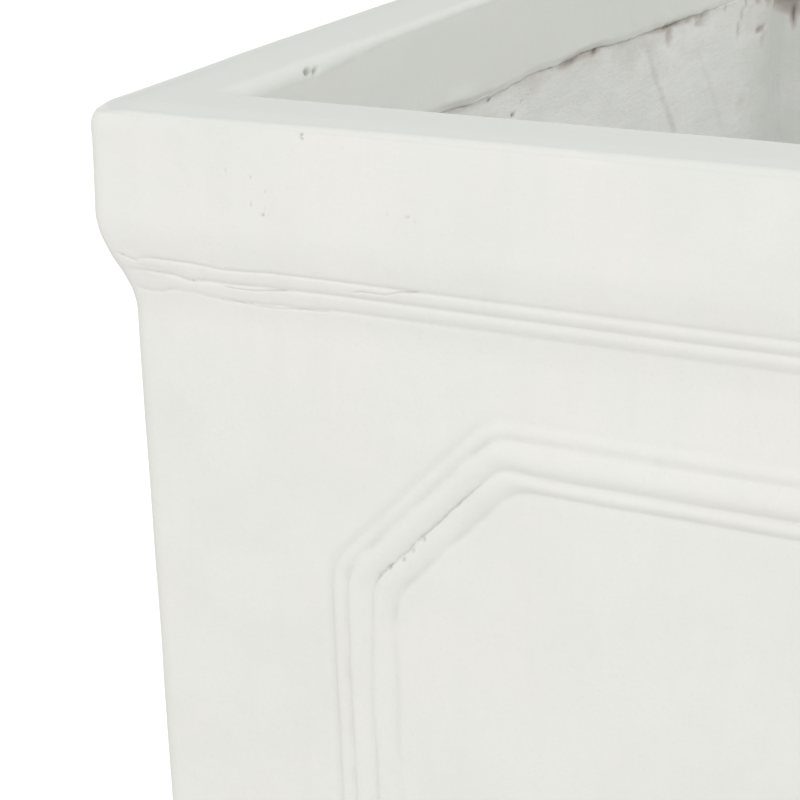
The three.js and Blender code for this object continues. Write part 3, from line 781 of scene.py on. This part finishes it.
# ---- corner fillets, base, plug and pads
def corner_fillet(name, side, node, top, step):
    """A mortar strip in the upright corner at the right-hand end of a side, seen from outside."""
    radius = 16.0
    stations = graded([(top, step), (110, 8)], WALL_BOTTOM)
    depth = np.append(stations, WALL_BOTTOM)[:, None]
    angles = np.linspace(0, math.pi / 2, 25)[None, :]
    corner_x = HALF - lining_inset(depth) - 0.15
    corner_y = corner_x.copy()
    at_back_left = side == BACK
    if at_back_left:
        corner_x = corner_x - back_swelling(depth)
    centre_x, centre_y = corner_x - radius, corner_y - radius

    def placed(reach):
        arc_x = centre_x + reach * np.cos(angles)
        arc_y = -(centre_y + reach * np.sin(angles))
        x, y = turned(arc_x, arc_y, side)
        return arc_x, arc_y, np.stack([x, y, HEIGHT - depth + 0 * x], -1)

    points = placed(radius)[2]
    bump = 0.5 * fractal(points, (17, 17, 26), 3, 1) + 0.15 * value_noise(points, (3, 3, 9), 4)
    bump -= 1.9 * np.sin(2 * angles) ** 6
    # Darker down the middle of the cove: painted shade in the corner.
    brown = 0.08 * hump(angles - 0.8, 0.25) * (0.8 + 0.4 * value_noise(points, (9, 9, 14), 2))
    if at_back_left:
        rough = 1 + 0.3 * value_noise(points, (3, 3, 5), 2)
        # The slot is darkened with painted shade, and the smudge under the return's edge is brown soil with
        # painted shade.
        slot = hump(np.hypot((angles - 0.97) / 0.085, (depth - 50.6) / 5.5) * rough, 1, 3)
        bump -= 1.3 * slot
        smudge_end = 48.0 + 4.0 * angles + 1.6 * value_noise(points, (6, 6, 3), 3)
        smudge = smooth(1.5, -4.0, depth - smudge_end) * smooth(1.35, 1.0, angles)
        brown = np.maximum(brown, np.maximum(0.88 * slot, 0.64 * smudge))
        bump -= 0.3 * smudge
    top_round = smooth(0, 5, depth - top)
    arc_x, arc_y, _ = placed(radius + (1.6 * (1 - top_round) - bump) * np.sin(2 * angles))
    behind_x, behind_y = corner_x + 0.4, corner_y + 0.4
    outline_x = np.concatenate([arc_x, centre_x, behind_x, behind_x], 1)
    outline_y = np.concatenate([arc_y, -behind_y, -behind_y, -centre_y], 1)
    x, y = turned(outline_x, outline_y, side)
    count = outline_x.shape[1]
    points = np.stack([x, y, HEIGHT - depth + 0 * x], -1)
    quads = grid_quads(len(depth), count, False, True)
    last = (len(depth) - 1) * count
    caps = [list(range(count))[::-1], [last + i for i in range(count)]]
    brown = np.concatenate([brown, np.zeros((len(depth), 3))], 1)
    piece = make_object(name, points.reshape(-1, 3), quads, caps, marks={"dirt_and_shade": brown})
    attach(piece, "planter")
    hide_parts(node)
    return piece


def base_slab():
    count = 144
    angles = np.arange(count) * 2 * np.pi / count
    half_top = HALF - float(body_inset(459.0)) - FACE - 0.3
    half_bottom = HALF - float(body_inset(FOOT_DEPTH)) - FACE - 0.3
    cos, sin = np.cos(angles), np.sin(angles)
    square = 1 / np.maximum(np.abs(cos), np.abs(sin))
    rings = []

    def ring(share, half, z, hole=16.0):
        edge = half * square * (1 - 0.004 * (square > 1.38))
        reach = hole + (edge - hole) * share
        rings.append(np.stack([reach * cos, reach * sin, np.full(count, z)], -1))

    for z in (20.4, 16.0, 10.0, 5.6):
        ring(0, half_top, z)
    ring(0, half_bottom, 5.0, 16.5)
    for share in (0.25, 0.6):
        ring(share, half_bottom, 5.0)
    ring(1.0, half_bottom, 5.05)
    ring(1.0, half_top, 20.4)
    for share in np.linspace(0.97, 0.0, 40) ** 1.1:
        ring(share, half_top, 21.0, 16.7)
    points = np.stack(rings)
    relief = 0.6 * fractal(points, 40, 3, 1) + 0.25 * value_noise(points, 7, 2) - 0.55
    from_hole = np.hypot(points[..., 0], points[..., 1])
    tops = (points[..., 2] > 20.9) & (from_hole > 24)
    points[..., 2] += np.where(tops, relief * smooth(24, 32, from_hole), 0)
    quads = grid_quads(len(rings), count, True, True)
    piece = make_object("base_floor", points.reshape(-1, 3), quads, marks={"dirt_and_shade": 0 * points[..., 0]})
    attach(piece, "planter")
    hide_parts("base_slab")
    return piece


def drain_plug():
    profile = [[0, 6.4], [9.5, 6.4], [10.5, 6.0], [11.2, 5.1], [14.2, 5.1], *arc(14.1, 6.1, 1.0, -90, 0, 5)]
    for z in (9.0, 13.0, 17.0):  # sealing ribs round the shank
        swell = 0.35 * (21 - z) / 16
        profile += [[15.15, z - 0.9], [15.45 + 0.1 * swell, z], [15.15, z + 0.9]]
    profile += [[15.3, 20.4], [15.6, 21.15]]
    profile += [[16.5, 21.3], [22.2, 21.3], *arc(21.9, 22.5, 1.1, -80, 90, 8)]
    profile += [[20.0, 23.5], [19.4, 23.3], [18.6, 23.3], [18.0, 23.6], [12.0, 24.1], [7.2, 24.5]]
    profile += arc(7.4, 27.0, 2.4, -95, -180, 7)
    profile += [[5.05, 29.0], *arc(6.2, 31.4, 1.6, 215, 190, 3)]
    profile += arc(5.3, 34.6, 3.6, -60, 75, 16)
    profile += [[5.2, 38.25], [4.4, 38.0], [3.4, 37.4], [0, 37.2]]
    piece = lathe("rubber_plug", profile, 96, (0, 0), 0.05, 3)
    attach(piece, "drain_plug")
    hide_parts("drain_plug")
    return piece


def foot_pad(name, node, centre, seed):
    profile = [[0, 0.5], [4.0, 0.5], [4.5, 0.05]]
    for radius in (8.5, 12.5, 16.5, 20.5):  # rings of grip under the pad
        profile += [[radius - 1.6, 0.05], [radius - 1.3, 0.55], [radius - 0.3, 0.55], [radius, 0.05]]
    profile += [[22.6, 0.0], *arc(22.9, 1.1, 1.05, -80, 0, 6)]
    profile += [[23.9, 3.6], *arc(23.2, 3.9, 0.75, 0, 85, 5), [15, 4.66], [0, 4.66]]
    piece = lathe(name, profile, 72, centre, 0.04, seed)
    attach(piece, "planter")
    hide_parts(node)
    return piece


# ---- materials
class Nodes:
    """The node tree of a material or a world, built up from nothing."""

    def __init__(self, owner):
        owner.use_nodes = True
        self.tree = owner.node_tree
        self.tree.nodes.clear()

    def feed(self, socket, value):
        if isinstance(value, bpy.types.NodeSocket):
            self.tree.links.new(value, socket)
        else:
            socket.default_value = value

    def add(self, kind, inputs=(), **settings):
        """A node with its settings, and a value or another node's output for each input named."""
        node = self.tree.nodes.new(kind)
        for key, value in settings.items():
            setattr(node, key, value)
        for name, value in dict(inputs).items():
            self.feed(node.inputs[name], value)
        return node


class Material(Nodes):
    """A surface's material. Every pattern is procedural and lies in the object's own coordinates."""

    def __init__(self, name):
        self.material = bpy.data.materials.new(name)
        super().__init__(self.material)
        self.position = self.add("ShaderNodeTexCoord").outputs["Object"]

    def noise(self, size_mm, detail=3.0, roughness=0.55, stretch=None):
        vector = self.position
        if stretch:
            vector = self.add("ShaderNodeMapping", {"Vector": vector, "Scale": stretch}).outputs["Vector"]
        inputs = {"Vector": vector, "Scale": 1000.0 / size_mm, "Detail": detail, "Roughness": roughness}
        return self.add("ShaderNodeTexNoise", inputs).outputs["Fac"]

    def cells(self, size_mm):
        node = self.add("ShaderNodeTexVoronoi", {"Vector": self.position, "Scale": 1000.0 / size_mm})
        return node.outputs["Distance"], node.outputs["Color"]

    def span(self, value, low, high, to_low=0.0, to_high=1.0):
        inputs = {"Value": value, "From Min": low, "From Max": high, "To Min": to_low, "To Max": to_high}
        return self.add("ShaderNodeMapRange", inputs, interpolation_type="SMOOTHSTEP").outputs["Result"]

    def math(self, operation, first, second):
        return self.add("ShaderNodeMath", {0: first, 1: second}, operation=operation).outputs[0]

    def blend(self, share, first, second):
        node = self.add("ShaderNodeMix", {"Factor": share}, data_type="RGBA", blend_type="MIX")
        sockets = [item for item in node.inputs if item.type == "RGBA"]
        for socket, colour in zip(sockets, (first, second)):
            self.feed(socket, (*colour, 1.0) if isinstance(colour, tuple) else colour)
        return next(item for item in node.outputs if item.type == "RGBA")

    def mark(self, name):
        return self.add("ShaderNodeAttribute", attribute_name=name).outputs["Fac"]

    def upward(self):
        """How far the surface faces up, in the object's own coordinates."""
        normal = self.add("ShaderNodeTexCoord").outputs["Normal"]
        return self.add("ShaderNodeSeparateXYZ", {"Vector": normal}).outputs["Z"]

    def bump(self, height, distance_mm, strength, after=None):
        inputs = {"Height": height, "Distance": distance_mm * MM, "Strength": strength}
        node = self.add("ShaderNodeBump", inputs)
        if after is not None:
            self.feed(node.inputs["Normal"], after)
        return node.outputs["Normal"]

    def finish(self, colour, roughness, normal):
        inputs = {"Base Color": colour, "Roughness": roughness, "Normal": normal}
        shader = self.add("ShaderNodeBsdfPrincipled", inputs)
        self.add("ShaderNodeOutputMaterial", {"Surface": shader.outputs["BSDF"]})
        return self.material


def cast_material():
    """Fine off-white cast face with a thin wash: faint clouds, speckle and pores, a greener, darker tone on
    the top and inner faces that is partly dust and partly painted shade, and painted shade with some dirt in
    the grooves, cracks and pits.
    """
    m = Material("cast_face_finish")
    clouds = m.noise(58.0, 4.0, 0.55)
    patches = m.noise(17.0, 3.0, 0.5)
    brushed = m.noise(5.0, 3.0, 0.6, (1.0, 1.0, 0.16))
    speckle = m.noise(0.9, 2.0, 0.7)
    warm = m.blend(m.span(clouds, 0.36, 0.64), (0.806, 0.809, 0.768), (0.842, 0.828, 0.792))
    mottled = m.blend(m.span(patches, 0.35, 0.7), warm, (0.829, 0.832, 0.792))
    streaked = m.blend(m.span(brushed, 0.42, 0.75, 0.0, 0.3), mottled, (0.80, 0.796, 0.755))
    grain = m.blend(m.span(speckle, 0.52, 0.78, 0.0, 0.3), streaked, (0.75, 0.745, 0.70))
    # greener, darker tone on the top and inner faces: partly dust, partly painted shade
    dust_and_shade_toned = m.blend(m.math("MULTIPLY", m.mark("dust_and_shade_tone"), 0.9), grain, (0.725, 0.75, 0.705))
    distance, chance = m.cells(9.0)
    chosen = m.span(chance, 0.84, 0.9)
    pore = m.math("MULTIPLY", m.span(distance, 0.04, 0.02), chosen)
    pored = m.blend(m.math("MULTIPLY", pore, 0.3), dust_and_shade_toned, (0.45, 0.44, 0.38))
    # The marked grooves, cracks, pits and return edge go grey-green: painted shade with some dirt.
    dirt_and_shade = m.mark("dirt_and_shade")
    colour = m.blend(m.span(dirt_and_shade, 0.04, 0.9, 0.0, 0.75), pored, (0.34, 0.345, 0.28))
    height = m.math("SUBTRACT", m.math("MULTIPLY", speckle, 0.5), m.math("MULTIPLY", pore, 0.8))
    fine = m.bump(height, 0.12, 0.55)
    normal = m.bump(m.noise(3.2, 4.0, 0.6), 0.28, 0.4, fine)
    roughness = m.span(patches, 0.3, 0.7, 0.82, 0.92)
    return m.finish(colour, roughness, normal)


def mortar_material():
    """Grey-white fibre mortar, pressed on by hand: trowel streaks, chopped fibres, and hollows, laps and
    crevices darkened with brown soil and painted shade.
    """
    m = Material("fibre_mortar_finish")
    clouds = m.noise(24.0, 5.0, 0.6, (0.4, 0.4, 1.0))
    dabs = m.noise(7.0, 4.0, 0.6, (0.35, 0.35, 1.0))
    streaks = m.noise(2.6, 3.0, 0.6, (0.25, 0.25, 1.0))
    grit = m.noise(0.8, 3.0, 0.7)
    base = m.blend(m.span(clouds, 0.35, 0.65), (0.80, 0.81, 0.778), (0.858, 0.866, 0.838))
    pinkish = m.blend(m.span(dabs, 0.5, 0.75, 0.0, 0.4), base, (0.85, 0.83, 0.80))
    streaked = m.blend(m.span(streaks, 0.5, 0.8, 0.0, 0.15), pinkish, (0.74, 0.73, 0.69))
    gritty = m.blend(m.span(grit, 0.55, 0.8, 0.0, 0.3), streaked, (0.67, 0.655, 0.61))
    fibres = []
    for stretch in ((1.0, 0.12, 1.0), (1.0, 1.0, 0.12), (0.16, 0.3, 1.0)):
        fibres.append(m.span(m.noise(0.75, 1.0, 0.5, stretch), 0.66, 0.74))
    fibre = m.math("MAXIMUM", m.math("MAXIMUM", fibres[0], fibres[1]), fibres[2])
    fibred = m.blend(m.math("MULTIPLY", fibre, 0.3), gritty, (0.86, 0.85, 0.81))
    # Brown and near-black where marked: brown soil, and painted shade in the hollows, laps, cove and under
    # the return's edge.
    ragged = m.math("ADD", m.mark("dirt_and_shade"), m.span(dabs, 0.3, 0.7, -0.06, 0.06))
    stained_and_shaded = m.blend(m.span(ragged, 0.05, 0.5), fibred, (0.62, 0.58, 0.545))
    colour = m.blend(m.span(ragged, 0.42, 1.0, 0.0, 0.95), stained_and_shaded, (0.12, 0.085, 0.06))
    height = m.math("ADD", m.math("MULTIPLY", grit, 0.6), m.math("MULTIPLY", fibre, 0.35))
    fine = m.bump(height, 0.25, 0.7)
    broad = m.bump(m.math("ADD", streaks, dabs), 0.55, 0.5, fine)
    return m.finish(colour, m.span(clouds, 0.3, 0.7, 0.88, 0.97), broad)


def rubber_material(name, tone, dust):
    """Moulded black rubber with a fine grain, a bloom of grey and mortar dust on top."""
    m = Material(name)
    grain = m.noise(0.45, 3.0, 0.65)
    bloom = m.noise(7.0, 4.0, 0.6)
    scuff = m.noise(2.2, 5.0, 0.7, (1.0, 0.25, 1.0))
    darker = tuple(value * 0.55 for value in tone)
    base = m.blend(m.span(bloom, 0.35, 0.7), darker, tone)
    speckled = m.blend(m.span(grain, 0.6, 0.8, 0.0, 0.35), base, tuple(value * 2.2 for value in tone))
    lying = m.math("MULTIPLY", m.span(m.upward(), 0.3, 0.95), m.span(scuff, 0.48, 0.75))
    colour = m.blend(m.math("MULTIPLY", lying, dust), speckled, (0.42, 0.41, 0.37))
    fine = m.bump(grain, 0.08, 0.6)
    normal = m.bump(scuff, 0.12, 0.35, fine)
    return m.finish(colour, m.span(bloom, 0.3, 0.7, 0.52, 0.78), normal)


def floor_material():
    """Pale studio floor. It shows white where nothing shades it and keeps the object's shadow."""
    material = bpy.data.materials.new("studio_floor")
    nodes = Nodes(material)
    diffuse = nodes.add("ShaderNodeBsdfDiffuse", {"Color": (0.82, 0.82, 0.81, 1)})
    glow = nodes.add("ShaderNodeEmission", {"Color": (1, 1, 1, 1), "Strength": FLOOR_GLOW})
    unlit = nodes.add("ShaderNodeEmission", {"Color": (0, 0, 0, 1), "Strength": 0.0})
    to_camera = nodes.add("ShaderNodeLightPath").outputs["Is Camera Ray"]
    seen = nodes.add("ShaderNodeMixShader", {0: to_camera, 1: unlit.outputs[0], 2: glow.outputs[0]})
    total = nodes.add("ShaderNodeAddShader", {0: diffuse.outputs[0], 1: seen.outputs[0]})
    nodes.add("ShaderNodeOutputMaterial", {"Surface": total.outputs[0]})
    return material


# ---- the planter
skin = cast_skin()
skin.data.materials.append(cast_material())

mortar = mortar_material()
mortar_pieces = []
for side, side_name, column_step, row_steps in (
    (FRONT, "front", 3.6, (2.4, 8.0)),
    (RIGHT, "right", 3.6, (2.4, 8.0)),
    (BACK, "back", 2.4, (1.8, 8.0)),
    (LEFT, "left", 1.4, (0.8, 7.0)),
):
    node = f"{side_name}_wall_backing"
    mortar_pieces.append(lining(f"{side_name}_lining", side, node, column_step, row_steps))
for side, corner, top, step in (
    (FRONT, "front_right", 31.5, 3.0),
    (RIGHT, "back_right", 31.5, 3.0),
    (BACK, "back_left", 39.0, 1.2),
    (LEFT, "front_left", 28.0, 3.0),
):
    mortar_pieces.append(corner_fillet(f"{corner}_cove", side, f"{corner}_corner_fillet", top, step))
mortar_pieces.append(base_slab())
for piece in mortar_pieces:
    piece.data.materials.append(mortar)
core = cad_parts["rim_core"]
for slot in core.material_slots:
    slot.material = mortar

plug = drain_plug()
plug.data.materials.append(rubber_material("plug_rubber_finish", (0.035, 0.034, 0.033), 0.35))
pad_rubber = rubber_material("pad_rubber_finish", (0.045, 0.043, 0.041), 0.2)
PAD_REACH = 192.0
for index, corner in enumerate(["back_right", "back_left", "front_left", "front_right"]):
    x, y = turned(PAD_REACH, PAD_REACH, index)
    pad = foot_pad(f"{corner}_pad", f"{corner}_foot_pad", (x, y), index)
    pad.data.materials.append(pad_rubber)

# ---- camera, floor and light
# The camera's place, direction and lens were solved from the photograph's straight edges.
CAMERA_PLACE = (-0.02727, -0.60520, 0.56282)
CAMERA_YAW = math.radians(-24.002)
CAMERA_DOWN = math.radians(19.541)
CAMERA_LENS = 93.31
FLOOR_REACH = 9.0
FLOOR_GLOW = 0.55
WORLD_FILL = 0.68
AIM = Vector((0.0, 0.0, 0.35))
scene = bpy.context.scene

camera_data = bpy.data.cameras.new("camera")
camera_data.sensor_width = 36.0
camera_data.lens = CAMERA_LENS
camera_data.clip_start = 0.01
camera_data.clip_end = 50.0
camera = bpy.data.objects.new("camera", camera_data)
scene.collection.objects.link(camera)
forward = math.cos(CAMERA_DOWN)
looking = Vector((math.sin(CAMERA_YAW) * forward, math.cos(CAMERA_YAW) * forward, -math.sin(CAMERA_DOWN)))
level_right = Vector((math.cos(CAMERA_YAW), -math.sin(CAMERA_YAW), 0.0))
upright = level_right.cross(looking)
turn = Matrix((level_right, upright, -looking)).transposed()
camera.matrix_world = Matrix.Translation(CAMERA_PLACE) @ turn.to_4x4()
scene.camera = camera

floor_mesh = bpy.data.meshes.new("floor")
floor_corners = [(x * FLOOR_REACH, y * FLOOR_REACH, 0) for x, y in ((-1, -1), (1, -1), (1, 1), (-1, 1))]
floor_mesh.from_pydata(floor_corners, [], [(0, 1, 2, 3)])
floor = bpy.data.objects.new("floor", floor_mesh)
scene.collection.objects.link(floor)
floor_mesh.materials.append(floor_material())


def area_light(name, place, size, power):
    data = bpy.data.lights.new(name, "AREA")
    data.shape = "SQUARE"
    data.size = size
    data.energy = power
    lamp = bpy.data.objects.new(name, data)
    scene.collection.objects.link(lamp)
    turn = (AIM - Vector(place)).to_track_quat("-Z", "Y").to_matrix()
    lamp.matrix_world = Matrix.Translation(place) @ turn.to_4x4()


area_light("key", (-0.1, -1.4, 1.15), 1.2, 7.6)
area_light("side", (2.3, 0.6, 1.5), 1.4, 18.5)

# The background is white where it is seen and a softer fill where it lights the object.
world = bpy.data.worlds.new("studio")
scene.world = world
studio = Nodes(world)
fill = studio.add("ShaderNodeBackground", {"Color": (1, 1, 1, 1), "Strength": WORLD_FILL})
white = studio.add("ShaderNodeBackground", {"Color": (1, 1, 1, 1), "Strength": 1.0})
rays = studio.add("ShaderNodeLightPath").outputs
shown = rays["Is Camera Ray"]
for kind in ("Is Glossy Ray", "Is Transmission Ray"):
    shown = studio.add("ShaderNodeMath", {0: shown, 1: rays[kind]}, operation="MAXIMUM").outputs[0]
mix = studio.add("ShaderNodeMixShader", {0: shown, 1: fill.outputs[0], 2: white.outputs[0]})
studio.add("ShaderNodeOutputWorld", {"Surface": mix.outputs[0]})

scene.view_settings.view_transform = "Standard"
